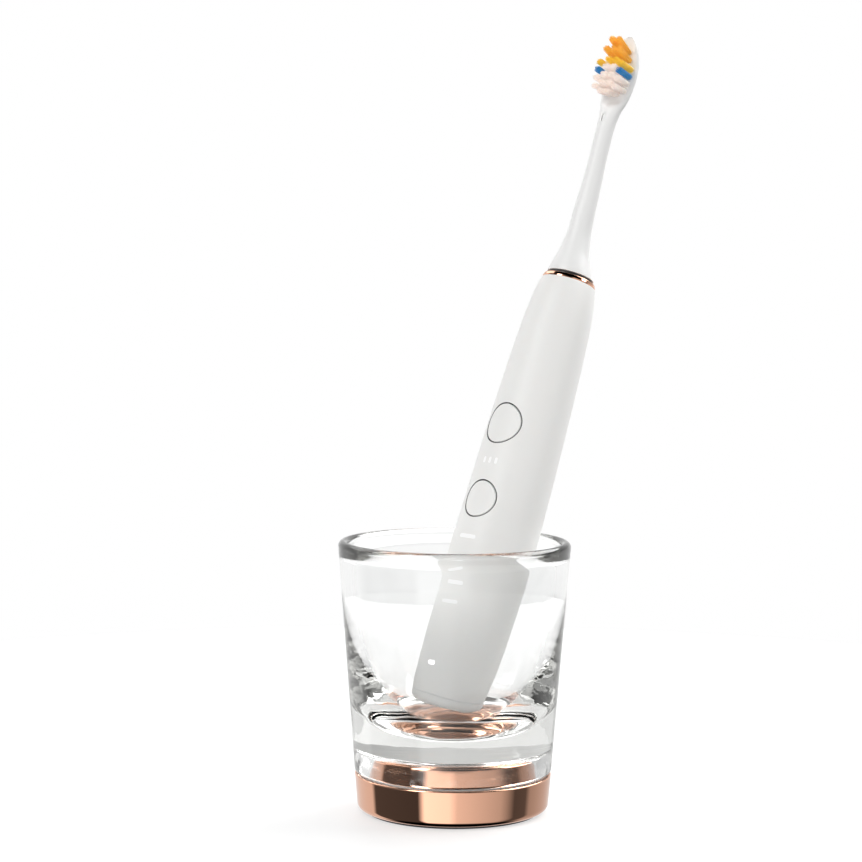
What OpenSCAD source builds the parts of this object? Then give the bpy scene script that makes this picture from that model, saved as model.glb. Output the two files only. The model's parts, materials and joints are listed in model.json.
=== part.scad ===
// Electric toothbrush leaning in a glass tumbler that stands on its charging base.
// Millimetres, Z up. The origin is on the surface, under the middle of the base.
// The brush is drawn upright, handle bottom at zero and buttons towards -Y,
// and in_brush() leans it into the glass.

/* [Charging base] */
// Radius of the plated ring at its top edge
base_r = 33.9; // [33.5:0.1:34.2]
// Height of the plated ring's top face, which the glass stands on
base_h = 13.4; // [13.2:0.1:13.8]
// Radius of the raised puck at its foot
puck_r = 28.3; // [28.1:0.1:28.4]
// Height of the puck above the ring
puck_h = 8.0; // [7.8:0.1:8.2]
// Wall of the ring, the puck and the cover
base_wall = 1.6; // [1.5:0.1:1.7]

/* [Glass] */
// Outer radius of the glass at its rim
rim_r = 40; // [39.9:0.1:40.5]
// Height of the rim's top above the surface
rim_z = 93.8; // [93.6:0.1:94.2]
// Wall thickness at the rim
rim_wall = 3.8; // [3.6:0.1:3.9]
// Largest radius of the bowl inside the glass
bowl_r = 34.8; // [34.7:0.1:35]
// Height of the bowl's lowest point
bowl_z = 27.5; // [27.2:0.1:27.6]

/* [Stance] */
// Angle between the brush and the vertical
lean = 21.5; // [21.4:0.1:21.6]
// Direction of the lean, counted from +X towards +Y
heading = 43.5; // [42:0.5:45]
// Turn of the brush about its own axis
turn = -86; // [-90:1:-80]
// Place of the handle's bottom centre along the lean, and its height
seat_out = -4.2; // [-4.3:0.1:-4.1]
seat_z = 31.9; // [31.9:0.1:32.1]

/* [Handle] */
// Length of the handle's shell and end cap, up to the plated collar
handle_len = 160.4; // [160:0.1:161]
// Wall of the handle's shell
shell_wall = 1.7; // [1.6:0.1:1.8]
// Height of the power button's centre, and its outline's radius
power_s = 103.8; // [103:0.1:104.5]
power_r = 7.6; // [7.4:0.1:7.7]
// Height of the mode button's centre, and its outline's radius
mode_s = 76; // [75:0.1:77]
mode_r = 6.9; // [6.7:0.1:7]
// Travel of both buttons
press = 0.5; // [0.3:0.1:0.5]

/* [Drive] */
// Radius of the drive shaft
shaft_r = 1.75; // [1.7:0.05:1.8]
// Radial running clearance between the shaft and its bearings
run_gap = 0.05; // [0.02:0.01:0.1]
// Height of the shaft's upper end
shaft_top = 177.5; // [176:0.5:178]

/* [Brush head] */
// Height of the head's open base
head_s = 163.2; // [163.2:0.1:163.4]
// Distance of the bristle face in front of the shaft's axis
face_y = 5.2; // [5.1:0.1:5.3]
// Turn of the head on the shaft
head_turn = 7; // [5:1:9]
// Thickness of one row of bristles
tuft_t = 2.1; // [1.8:0.1:2.2]

/* [Hidden] */
$fn = 96;

// Outer profile of the handle: height, radius
HANDLE = [
  [3.2, 13.4], [12, 13.8], [28, 14.4], [48, 14.75], [60, 14.8], [72, 14.55], [85, 14.3],
  [100, 13.95], [120, 13.3], [140, 12.4], [150, 11.6], [156, 10.75], [160.4, 9.85]];
// Sections of the brush head: height, half width, half depth, forward shift
HEAD = [
  [163.2, 8.5, 8.5, 0], [165, 7.8, 7.9, 0.6], [168, 6.7, 6.9, 1.1], [171, 5.6, 5.9, 1.5],
  [174.5, 4.9, 5.1, 1.7], [178, 4.3, 4.6, 1.9], [182, 4, 4.3, 2.25], [186, 3.9, 4.1, 2.6],
  [192, 3.7, 3.8, 2.8], [200, 3.35, 3.4, 3], [207, 3.2, 3.2, 3.6], [214, 3.2, 3.2, 4.1],
  [220, 3.3, 3.1, 4.3], [225, 4.1, 2.8, 4.1], [229, 5.5, 2.4, 3.7], [234, 6.3, 2.1, 3.4],
  [240, 6.4, 2.1, 3.4], [246, 5.4, 2, 3.6], [250, 3.9, 1.8, 4.1], [252.4, 2.4, 1.4, 4.6],
  [253.6, 0.9, 0.8, 4.9]];

// Base: foot, cover, ring and the charger inside them
foot_h = 0.8;
foot_r = 29.8;
foot_in_r = 23;
cover_r = 30.1;
cover_top = foot_h + 2;
ring_in_r = 30.2;
ring_foot_r = 32.8;
ring_round = 2.4;
ring_lip = 28.7;
flange_z = base_h - base_wall - 0.2;
puck_top_r = puck_r - 1.5;
puck_z = base_h + puck_h;
puck_round = 1.6;
screw_r = 1.1;
screw_head_r = 2.2;
screw_head_h = 1;
screw_len = 8.5;
socket_r = 0.7;
boss_ring = 19;
boss_r = 2.6;
post_ring = 12;
post_r = 2.2;
board_z = 7.2;
board_t = 1.2;
charger_r = 24.5;
core_r = 15.6;
core_z = 14;
core_t = 1.2;
core_post_r = 6;
former_r = 7.6;
coil_r = 14.2;
coil_z = core_z + core_t + 0.2;
coil_h = 3.9;
inlet_r = 1.7;
inlet_z = 6.6;
gland_r = 2.6;
gland_in = 25.5;
gland_out = 35.6;
gland_collar_r = 3.3;
gasket_r = 32.6;

// Glass: foot, recess over the puck, bowl
glass_z = base_h + 0.6;
glass_foot_r = 33.9;
foot_edge = 1.2;
recess_r = 29.2;
recess_top_r = 27.6;
recess_z = puck_z + 0.9;
bowl_top = 87;
bowl_side = 3.6;
bowl_drop = 1.8;
flare = rim_r - rim_wall - bowl_r;
rim_round = rim_wall / 2;

// Handle: heights of what is inside it
cap_h = 4.2;
cap_round = 3.2;
cap_inset = 0.12;
shell_s = cap_h + 0.3;
collar_h = 1.6;
collar_r = 9.72;
collar_top_r = 9.35;
collar_in_r = 8.05;
collar_top = handle_len + collar_h;
nose_s = 145;
nose_bore = 4.5;
seal_s = 157;
chassis_r = 11.3;
chassis_in_r = 10.2;
chassis_s = 11;
sleeve_s = 118;
sleeve_in_r = 9.3;
yoke_s = 119;
yoke_in_r = 8.2;
pcb_y = -6;
pcb_t = 1;
pcb_w = 19.2;
pcb_s = 12.5;
battery_r = 7;
battery_y = 2.6;
battery_s = 24;
battery_len = 50;
front_y = -20;
flange_y = -9;
mode_places = [[0, 39.3], [0, 46.5], [0, 54.6], [0, 62.2]];
mode_size = [7, 1.3];
strength_places = [[-2.6, 90], [0, 90], [2.6, 90]];
strength_size = [0.9, 2.2];
battery_places = [[0, 15.7]];
battery_size = [3, 1.5];
flange_t = 0.6;
ring_w = 0.3;
button_gap = 0.15;
screw_s = 92;
screw_x = 5.5;
bearing_r = 4;
rotor_s = 129.5;
rotor_h = 12;
hub_r = 3.2;

// Rows of bristles from toe to heel:
// root height, tilt towards the toe, reach in front of the axis, tuft centres, tuft width
ORANGE = [
  [247, 20, 13.4, [-1.4, 1.4], 2.7],
  [244.1, 13, 13.8, [-2.6, 0.1, 2.6], 2.5]];
YELLOW = [
  [241.6, 2, 12.4, [-1.5, 1.5], 2.6],
  [240.7, -2, 13, [-4.4, 4.4], 2.7]];
BLUE = [[238, -3, 12.8, [-4.5, 4.5], 2.7]];
CLEAR = [
  [239, 0, 12.6, [-1.6, 1.6], 2.9],
  [236.4, -3, 12.7, [-1.6, 1.6], 2.9],
  [235.3, -5, 12.9, [-4.4, 4.4], 2.6],
  [233.8, -7, 12.6, [-1.5, 1.5], 2.8],
  [232.5, -9, 12.8, [-4.1, 4.1], 2.3],
  [231.2, -13, 12.4, [-1.4, 1.4], 2.6]];

// Index of the stretch of table t that holds height s
function stretch_at(t, s, i = 0) = (s <= t[i + 1][0] || i == len(t) - 2) ? i : stretch_at(t, s, i + 1);
// Slope of column c of table t at row i
function slope(t, i, c) =
  let (a = max(i - 1, 0), b = min(i + 1, len(t) - 1)) (t[b][c] - t[a][c]) / (t[b][0] - t[a][0]);
// Smooth curve through column c of table t at height s
function smooth(t, s, c = 1) =
  let (
    i = stretch_at(t, s),
    h = t[i + 1][0] - t[i][0],
    u = (s - t[i][0]) / h)
  (2 * u * u * u - 3 * u * u + 1) * t[i][c]
  + (u * u * u - 2 * u * u + u) * h * slope(t, i, c)
  + (3 * u * u - 2 * u * u * u) * t[i + 1][c]
  + (u * u * u - u * u) * h * slope(t, i + 1, c);
// Points of an arc
function arc(x, y, r, from, to, steps = 8) =
  [for (i = [0:steps]) let (a = from + (to - from) * i / steps) [x + r * cos(a), y + r * sin(a)]];
// Radius of the handle at height s, less an inset
function handle_r(s, inset = 0) = smooth(HANDLE, s) - inset;
// Points up one side of the handle between two heights
function handle_side(from, to, inset = 0, steps = 36) =
  [for (i = [0:steps]) let (s = from + (to - from) * i / steps) [handle_r(s, inset), s]];

module revolve(points) {
  rotate_extrude() polygon(points);
}

module tube(r, r_in, h) {
  difference() {
    cylinder(r = r, h = h);
    translate([0, 0, -1]) cylinder(r = r_in, h = h + 2);
  }
}

// Places what is inside it three times round a circle
module three_round(radius, from = 90) {
  for (i = [0:2]) rotate([0, 0, from + 120 * i]) translate([radius, 0, 0]) children();
}

// Leans the upright brush into the glass
module in_brush() {
  rotate([0, 0, heading])
    translate([seat_out, 0, seat_z])
      rotate([0, lean, 0])
        rotate([0, 0, turn])
          children();
}

// Turns the head on the shaft
module on_shaft() {
  in_brush() rotate([0, 0, head_turn]) children();
}

// A disc or hole whose axis points to the front, between two depths
module front_disc(r, s, y_front, y_back) {
  translate([0, y_back, s]) rotate([90, 0, 0]) cylinder(r = r, h = y_back - y_front);
}

// A round-ended bar facing the front, between two depths
module front_bar(width, height, x, s, y_front, y_back) {
  end_r = min(width, height) / 2;
  across = width > height;
  reach = (max(width, height) / 2) - end_r;
  translate([x, y_back, s]) rotate([90, 0, 0]) linear_extrude(y_back - y_front) {
    square([across ? 2 * reach : width, across ? height : 2 * reach], center = true);
    for (side = [-1, 1])
      translate([across ? side * reach : 0, across ? 0 : side * reach]) circle(end_r);
  }
}

// The places of the small light windows on the handle's front
module light_bars(places, size) {
  for (place = places) front_bar(size[0], size[1], place[0], place[1], front_y, flange_y);
}

module window_shapes(which) {
  if (which == "mode") light_bars(mode_places, mode_size);
  if (which == "strength") light_bars(strength_places, strength_size);
  if (which == "battery") light_bars(battery_places, battery_size);
}

// ---------------------------------------------------------------- charging base

module foot_pad() {
  color("dimgray") tube(foot_r, foot_in_r, foot_h);
}

module base_cover() {
  color("whitesmoke") {
    difference() {
      translate([0, 0, foot_h]) cylinder(r = cover_r, h = cover_top - foot_h);
      three_round(boss_ring) {
        cylinder(r = screw_r + 0.2, h = cover_top + 1);
        cylinder(r = screw_head_r + 0.2, h = foot_h + 0.1 + screw_head_h);
      }
    }
    three_round(post_ring, 30) translate([0, 0, cover_top]) cylinder(r = post_r, h = board_z - cover_top);
  }
}

module cover_screws() {
  color("silver") three_round(boss_ring) {
    difference() {
      translate([0, 0, foot_h + 0.1]) cylinder(r = screw_head_r, h = screw_head_h);
      cylinder(r = socket_r, h = foot_h + 0.6, $fn = 6);
    }
    translate([0, 0, foot_h + 0.1 + screw_head_h]) cylinder(r = screw_r, h = screw_len);
  }
}

module base_ring() {
  chamfer = 0.4;
  color("#c98a6b") difference() {
    revolve(concat(
      [[ring_in_r, foot_h]],
      arc(ring_foot_r - ring_round, foot_h + ring_round, ring_round, -90, 0),
      [[base_r, base_h - chamfer], [base_r - chamfer, base_h], [ring_lip, base_h],
       [ring_lip, base_h - base_wall], [ring_in_r, base_h - base_wall]]));
    translate([0, ring_in_r - 2, inlet_z]) rotate([-90, 0, 0]) cylinder(r = gland_r, h = 6);
  }
}

module seat_gasket() {
  color("#dfe3e4") translate([0, 0, base_h]) tube(gasket_r, foot_r, glass_z - base_h);
}

module base_top() {
  wall_r = puck_r - base_wall;
  roof_z = puck_z - base_wall;
  color("#c98a6b") {
    revolve(concat(
      [[wall_r, flange_z - base_wall], [cover_r, flange_z - base_wall], [cover_r, flange_z],
       [puck_r, flange_z], [puck_r, base_h]],
      arc(puck_top_r - puck_round, puck_z - puck_round, puck_round, 0, 90),
      [[0, puck_z], [0, roof_z], [puck_top_r - base_wall, roof_z], [wall_r, base_h]]));
    three_round(boss_ring) translate([0, 0, cover_top]) difference() {
      cylinder(r = boss_r, h = roof_z + 0.5 - cover_top);
      translate([0, 0, -1]) cylinder(r = screw_r, h = 9);
    }
  }
}

module charge_coil() {
  color("#b5651d") translate([0, 0, coil_z]) tube(coil_r, former_r, coil_h);
}

module coil_core() {
  color("#3a3a3c") translate([0, 0, core_z]) {
    cylinder(r = core_r, h = core_t);
    cylinder(r = core_post_r, h = core_t + coil_h);
  }
}

module coil_former() {
  color("ivory")
    translate([0, 0, core_z + core_t]) tube(former_r, core_post_r, puck_z - base_wall - core_z - core_t);
}

module charger_board() {
  color("seagreen") difference() {
    translate([0, 0, board_z]) cylinder(r = charger_r, h = board_t);
    three_round(boss_ring) translate([0, 0, board_z - 1]) cylinder(r = boss_r + 0.4, h = board_t + 2);
  }
}

// Capacitors and the switching chip, standing on the charger's board
module board_parts() {
  color("#2f3640") translate([0, 0, board_z + board_t]) {
    translate([8, -4, 0]) cylinder(r = 3.1, h = 5.2);
    translate([-9, -3, 0]) cylinder(r = 2.5, h = 4.6);
    translate([-4, -12, 0]) cube([8, 6, 1.6]);
    translate([-3, 5, 0]) cube([7, 5, 3]);
  }
}

module lead_gland() {
  color("#4a4a4a") translate([0, gland_in, inlet_z]) rotate([-90, 0, 0]) difference() {
    union() {
      cylinder(r = gland_r, h = gland_out - gland_in);
      translate([0, 0, 2.4]) cylinder(r = gland_collar_r, h = 2.1);
    }
    translate([0, 0, -1]) cylinder(r = inlet_r, h = gland_out);
  }
}

// ------------------------------------------------------------------------ glass

module tumbler() {
  recess_round = 1.6;
  color("#dfeef0", 0.35) revolve(concat(
    [[recess_r, glass_z]],
    arc(glass_foot_r - foot_edge, glass_z + foot_edge, foot_edge, -90, 0),
    arc(rim_r - rim_round, rim_z - rim_round, rim_round, 0, 180, 12),
    [for (i = [4:-1:1])
      let (u = i / 5)
      [bowl_r + flare * (1 - cos(90 * u)), bowl_top + (rim_z - rim_round - bowl_top) * u]],
    [for (i = [0:32])
      let (a = 90 * i / 32)
      [bowl_r * pow(cos(a), 2 / bowl_side), bowl_top - (bowl_top - bowl_z) * pow(sin(a), 2 / bowl_drop)]],
    [[0, recess_z]],
    arc(recess_top_r - recess_round, recess_z - recess_round, recess_round, 90, 0, 6)));
}

// ----------------------------------------------------------------------- handle

// The handle's whole outside, filled in
module handle_form() {
  revolve(concat([[0, cap_round]], handle_side(cap_round, handle_len), [[0, handle_len]]));
}

// The handle's wall alone, its outside sunk by an inset
module handle_skin(inset = 0) {
  revolve(concat(
    handle_side(shell_s, handle_len, inset),
    handle_side(handle_len, shell_s, shell_wall)));
}

module handle_shell() {
  color("white") in_brush() difference() {
    handle_skin();
    front_disc(power_r, power_s, front_y, 0);
    front_disc(mode_r, mode_s, front_y, 0);
    window_shapes("mode");
    window_shapes("strength");
    window_shapes("battery");
  }
}

module end_cap() {
  spigot_r = handle_r(shell_s, shell_wall) - cap_inset;
  color("white") in_brush() revolve(concat(
    [[0, 0.3], [6, 0.3], [6.4, 0]],
    arc(handle_r(cap_round) - cap_round, cap_round, cap_round, -90, 0),
    [[handle_r(cap_h), cap_h], [spigot_r, cap_h], [spigot_r, 10], [chassis_in_r, 10],
     [chassis_in_r, 2.4], [0, 2.4]]));
}

module end_cap_seal() {
  color("#dfe3e4") in_brush() translate([0, 0, cap_h])
    tube(handle_r(cap_h) - 0.12, handle_r(cap_h, shell_wall), shell_s - cap_h);
}

module top_collar() {
  color("#c98a6b") in_brush() revolve([
    [collar_in_r, handle_len], [collar_r, handle_len], [collar_r, handle_len + 0.5],
    [collar_top_r, collar_top], [collar_in_r, collar_top]]);
}

module nose() {
  rim_h = 0.6;
  rim_r_out = 8.3;
  color("#1d1d1f") in_brush() revolve([
    [nose_bore, nose_s], [sleeve_in_r, nose_s], [sleeve_in_r, nose_s + 6.5], [8.7, nose_s + 10.5],
    [collar_in_r, handle_len], [collar_in_r, collar_top], [rim_r_out, collar_top],
    [rim_r_out, collar_top + rim_h], [nose_bore, collar_top + rim_h], [nose_bore, seal_s],
    [3, seal_s], [3, nose_s + 4.5], [nose_bore, nose_s + 4.5]]);
}

module shaft_seal() {
  color("#3c3c3e") in_brush()
    translate([0, 0, seal_s]) tube(nose_bore, shaft_r + run_gap, collar_top + 0.3 - seal_s);
}

// A trough behind the board, closed by a wall that holds the lower bearing,
// and a sleeve round the motor
module chassis() {
  wall_s = 113;
  cut_y = pcb_y + pcb_t;
  color("#cfd3d6") in_brush() difference() {
    union() {
      difference() {
        union() {
          translate([0, 0, chassis_s]) tube(chassis_r, chassis_in_r, sleeve_s - chassis_s);
          translate([0, 0, wall_s]) cylinder(r = chassis_in_r, h = sleeve_s - wall_s);
          for (side = [-1, 1]) translate([side * screw_x, chassis_in_r - 1.8, screw_s])
            rotate([90, 0, 0]) cylinder(r = 2, h = chassis_in_r - 1.8 - cut_y);
        }
        translate([-15, cut_y - 15, 0]) cube([30, 15, sleeve_s - 2]);
      }
      translate([0, 0, sleeve_s - 2]) cylinder(r = chassis_in_r, h = 2);
      translate([0, 0, sleeve_s]) tube(chassis_in_r, sleeve_in_r, nose_s - sleeve_s);
    }
    translate([0, 0, wall_s - 1]) cylinder(r = bearing_r, h = 7);
    for (side = [-1, 1]) translate([side * screw_x, cut_y + 7, screw_s])
      rotate([90, 0, 0]) cylinder(r = 0.9, h = 12);
  }
}

module motor_yoke() {
  color("#7d8288") in_brush() translate([0, 0, yoke_s]) tube(sleeve_in_r, yoke_in_r, nose_s - yoke_s);
}

module motor_coil() {
  color("#b5651d") in_brush() translate([0, 0, yoke_s + 0.5]) tube(yoke_in_r, 5.2, 8.5);
}

module lower_bearing() {
  color("silver") in_brush() translate([0, 0, 113.5]) tube(bearing_r, shaft_r + run_gap, 4);
}

module upper_bearing() {
  color("silver") in_brush() translate([0, 0, nose_s + 0.5]) tube(nose_bore, shaft_r + run_gap, 4);
}

module battery() {
  color("#3f6fae") in_brush() translate([0, battery_y, battery_s]) {
    cylinder(r = battery_r, h = battery_len - 0.8);
    cylinder(r = 2.6, h = battery_len);
  }
}

// Welded strips from the cell's two ends to the board
module battery_tabs() {
  strip = 0.3;
  tab_y = pcb_y + pcb_t;
  color("gainsboro") in_brush() for (s = [battery_s - strip, battery_s + battery_len])
    translate([-2, tab_y, s]) cube([4, battery_y + 3 - tab_y, strip]);
}

module battery_foam() {
  color("#55585c") in_brush() translate([0, battery_y, battery_s + battery_len + 0.3])
    cylinder(r = battery_r - 1, h = 4);
}

module circuit_board() {
  color("seagreen") in_brush() difference() {
    translate([-pcb_w / 2, pcb_y, pcb_s]) cube([pcb_w, pcb_t, sleeve_s - 2 - pcb_s]);
    for (side = [-1, 1]) translate([side * screw_x, pcb_y + 5, screw_s])
      rotate([90, 0, 0]) cylinder(r = 1, h = 10);
  }
}

module chassis_screws() {
  color("silver") in_brush() for (side = [-1, 1]) translate([side * screw_x, pcb_y, screw_s])
    rotate([90, 0, 0]) {
      cylinder(r = 1.8, h = 1);
      translate([0, 0, -7]) cylinder(r = 0.9, h = 7);
    }
}

module switches() {
  color("#26282b") in_brush() for (s = [power_s, mode_s]) {
    translate([-2.5, pcb_y - 1.2, s - 2.5]) cube([5, 1.2, 5]);
    front_disc(1.5, s, flange_y + flange_t + press + 0.1, pcb_y - 1.2);
  }
}

// One small lamp on the board behind each window
module light_chips() {
  color("lightyellow") in_brush()
    for (place = concat(mode_places, strength_places, battery_places))
      translate([place[0] - 0.6, pcb_y - 0.6, place[1] - 0.4]) cube([1.2, 0.6, 0.8]);
}

module light_windows(which) {
  color("#f4f7fa") in_brush() intersection() {
    window_shapes(which);
    handle_skin();
  }
}

module mode_lights() {
  light_windows("mode");
}

module strength_lights() {
  light_windows("strength");
}

module battery_light() {
  light_windows("battery");
}

module button_seals() {
  color("#77787a") in_brush() intersection() {
    for (b = [[power_r, power_s], [mode_r, mode_s]]) difference() {
      front_disc(b[0], b[1], front_y, flange_y);
      front_disc(b[0] - ring_w, b[1], front_y - 1, flange_y + 1);
    }
    handle_skin(0.05);
  }
}

// Flush with the handle outside, hollow inside, held by its flange
module button(outline_r, s) {
  cap_r = outline_r - ring_w - button_gap;
  color("white") in_brush() difference() {
    union() {
      intersection() {
        front_disc(cap_r, s, front_y, flange_y + flange_t);
        handle_form();
      }
      front_disc(outline_r + 0.4, s, flange_y, flange_y + flange_t);
    }
    difference() {
      front_disc(cap_r - 1.2, s, -12, 0);
      front_disc(1.4, s, -12, flange_y + flange_t);
    }
  }
}

module power_button() {
  button(power_r, power_s);
}

module mode_button() {
  button(mode_r, mode_s);
}

module receiver_coil() {
  color("#b5651d") in_brush() translate([0, 0, 2.8]) tube(9.4, 5.5, 5);
}

module receiver_core() {
  color("#3a3a3c") in_brush() translate([0, 0, 2.4]) cylinder(r = 3, h = 7);
}

// ------------------------------------------------------------------------ drive

module drive_shaft() {
  color("gainsboro") in_brush() translate([0, 0, 111.5]) cylinder(r = shaft_r, h = shaft_top - 111.5);
}

module rotor_hub() {
  color("#9aa0a6") in_brush() translate([0, 0, rotor_s]) tube(hub_r, shaft_r, rotor_h);
}

module rotor_magnets() {
  color("#5b5f66") in_brush() for (side = [0, 180]) rotate([0, 0, side])
    difference() {
      translate([1, -2.4, rotor_s]) cube([5.8, 4.8, rotor_h]);
      translate([0, 0, rotor_s - 1]) cylinder(r = hub_r, h = rotor_h + 2);
    }
}

// ------------------------------------------------------------------- brush head

// One closed skin through the head's oval sections
module head_form() {
  sides = 24;
  steps = 44;
  rings = [for (i = [0:steps])
    let (s = HEAD[0][0] + (HEAD[len(HEAD) - 1][0] - HEAD[0][0]) * sin(90 * i / steps))
    [for (k = [0:sides - 1])
      let (a = 360 * k / sides)
      [smooth(HEAD, s, 1) * cos(a), smooth(HEAD, s, 2) * sin(a) - smooth(HEAD, s, 3), s]]];
  polyhedron(
    points = [for (ring = rings) for (p = ring) p],
    faces = concat(
      [[for (k = [0:sides - 1]) k]],
      [for (i = [0:steps - 1]) for (k = [0:sides - 1])
        let (a = i * sides + k, b = i * sides + (k + 1) % sides)
        [a, a + sides, b + sides, b]],
      [[for (k = [sides - 1:-1:0]) steps * sides + k]]));
}

module brush_head() {
  hollow_r = 6.2;
  color("white") on_shaft() difference() {
    head_form();
    translate([0, 0, head_s - 1]) cylinder(r = shaft_r + run_gap, h = shaft_top + 2 - head_s);
    translate([0, 0, head_s - 1]) cylinder(r = hollow_r, h = 2.4);
    translate([-8, -face_y - 8, 228]) cube([16, 8, 30]);
    front_bar(1.6, 3.4, 0, 221.6, -9, -6.6);
  }
}

module head_tag_ring() {
  color("#b5651d") on_shaft() translate([0, 0, head_s + 0.4]) tube(6.1, 4.4, 0.9);
}

// Round-ended tufts that stand on the bristle face
module tufts(rows) {
  on_shaft() intersection() {
    for (row = rows) for (x = row[3])
      translate([x, -face_y, row[0]]) rotate([90 - row[1], 0, 0]) translate([0, 0, -2])
        linear_extrude(2 + (row[2] - face_y) / cos(row[1])) {
          square([row[4] - tuft_t, tuft_t], center = true);
          for (side = [-1, 1]) translate([side * (row[4] - tuft_t) / 2, 0]) circle(tuft_t / 2);
        }
    translate([-10, -face_y - 12, 220]) cube([20, 12, 40]);
  }
}

module orange_tufts() {
  color("#f2a02a") tufts(ORANGE);
}

module yellow_tufts() {
  color("#eec13a") tufts(YELLOW);
}

module blue_tufts() {
  color("#2c6fb5") tufts(BLUE);
}

module clear_tufts() {
  color("#f3eeea") tufts(CLEAR);
}

foot_pad();
base_cover();
cover_screws();
base_ring();
seat_gasket();
base_top();
charge_coil();
coil_core();
coil_former();
charger_board();
board_parts();
lead_gland();
tumbler();
handle_shell();
end_cap();
end_cap_seal();
top_collar();
nose();
shaft_seal();
chassis();
motor_yoke();
motor_coil();
lower_bearing();
upper_bearing();
battery();
battery_tabs();
battery_foam();
circuit_board();
chassis_screws();
switches();
light_chips();
mode_lights();
strength_lights();
battery_light();
button_seals();
receiver_coil();
receiver_core();
drive_shaft();
rotor_hub();
rotor_magnets();
power_button();
mode_button();
brush_head();
head_tag_ring();
orange_tufts();
yellow_tufts();
blue_tufts();
clear_tufts();
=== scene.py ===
"""Electric toothbrush leaning in a thick glass that stands on a plated charging base: the looks."""
import json
import math

import bmesh
import bpy
from mathutils import Matrix, Vector


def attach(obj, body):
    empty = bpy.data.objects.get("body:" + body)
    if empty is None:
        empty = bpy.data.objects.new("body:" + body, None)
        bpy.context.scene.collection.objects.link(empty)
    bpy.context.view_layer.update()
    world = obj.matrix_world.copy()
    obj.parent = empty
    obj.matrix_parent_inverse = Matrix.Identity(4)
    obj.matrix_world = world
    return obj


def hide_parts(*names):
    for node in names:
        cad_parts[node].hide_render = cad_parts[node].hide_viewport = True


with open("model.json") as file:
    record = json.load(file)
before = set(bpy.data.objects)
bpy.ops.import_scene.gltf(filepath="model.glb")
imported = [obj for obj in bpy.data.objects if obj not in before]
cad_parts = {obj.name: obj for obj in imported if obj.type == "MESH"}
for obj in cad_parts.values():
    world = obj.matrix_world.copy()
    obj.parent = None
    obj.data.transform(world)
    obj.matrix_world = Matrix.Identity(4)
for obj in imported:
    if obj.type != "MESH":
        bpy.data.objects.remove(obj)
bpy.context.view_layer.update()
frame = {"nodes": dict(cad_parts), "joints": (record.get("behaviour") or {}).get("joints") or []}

# ------------------------------------------------------------------ the studio
# A long lens looks slightly down on the glass from the front. The room is pale, with dark strips
# at both sides that draw the edges of glass and plating, and two bright windows high up, at the
# front left and at the right. The lens itself sees plain white behind the object.
MM = 0.001
LENS = 110.7
CAMERA_PLACE = (0, -905 * MM, 201.7 * MM)
CAMERA_PAN, CAMERA_TILT, CAMERA_ROLL = 0.531, -4.44, 0.41
FLOOR_R = 0.42

camera = bpy.data.objects.new("camera", bpy.data.cameras.new("camera"))
bpy.context.scene.collection.objects.link(camera)
camera.data.lens = LENS
camera.matrix_world = (
    Matrix.Translation(CAMERA_PLACE)
    @ Matrix.Rotation(math.radians(CAMERA_PAN), 4, "Z")
    @ Matrix.Rotation(math.radians(90 + CAMERA_TILT), 4, "X")
    @ Matrix.Rotation(math.radians(CAMERA_ROLL), 4, "Z"))
bpy.context.scene.camera = camera
bpy.context.scene.view_settings.view_transform = "Standard"
BOUNCES = 32  # with fewer, light is lost inside the thick glass
light_paths = bpy.context.scene.cycles
light_paths.max_bounces = BOUNCES
light_paths.glossy_bounces = BOUNCES
light_paths.transmission_bounces = BOUNCES

# What the room shows, by direction: degrees from the front towards the right, and the brightness
# there. The low stops stand well below the horizon, where ring and puck mirror them, and again
# just above it; the middle ones lie along the horizon; the high ones light the brush.
LOW_ROOM = [
    (-180, 0.9), (-112, 0.9), (-106, 0.09), (-42, 0.07), (-34, 1.8), (-4, 1.6), (6, 1.05),
    (60, 0.65), (70, 0.4), (80, 0.1), (98, 0.12), (106, 0.45), (180, 0.9)]
MIDDLE_ROOM = [
    (-180, 1.0), (-112, 1.0), (-106, 0.5), (-66, 0.5), (-60, 1.1), (6, 1.1), (18, 0.3),
    (80, 0.3), (90, 1.0), (180, 1.0)]
HIGH_ROOM = [
    (-180, 2), (-112, 2), (-108, 0.06), (-62, 0.06), (-58, 9.5), (-43, 9.5), (-33, 0.5),
    (-14, 0.1), (0, 0), (78, 0), (84, 7.5), (150, 7.5), (156, 2), (180, 2)]
BRIGHTEST = max(level for azimuth, level in HIGH_ROOM)
# The height of the sky, as a share of straight up, where each part starts and is full.
UNDERSIDE, HORIZON, STRIPS = (-0.85, -0.65), (-0.22, -0.15), (0.08, 0.14)
WALLS, CEILING = (0.4, 0.46), (0.75, 0.9)


def room_ramp(nodes, stops):
    """A ramp round the horizon; its colours are shares of the brightest."""
    ramp = nodes.new("ShaderNodeValToRGB")
    band = ramp.color_ramp.elements
    for spare in list(band)[1:]:
        band.remove(spare)
    for at, (azimuth, level) in enumerate(stops):
        stop = band[0] if at == 0 else band.new((azimuth + 180) / 360)
        stop.position = (azimuth + 180) / 360
        stop.color = (level / BRIGHTEST,) * 3 + (1,)
    return ramp


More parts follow.
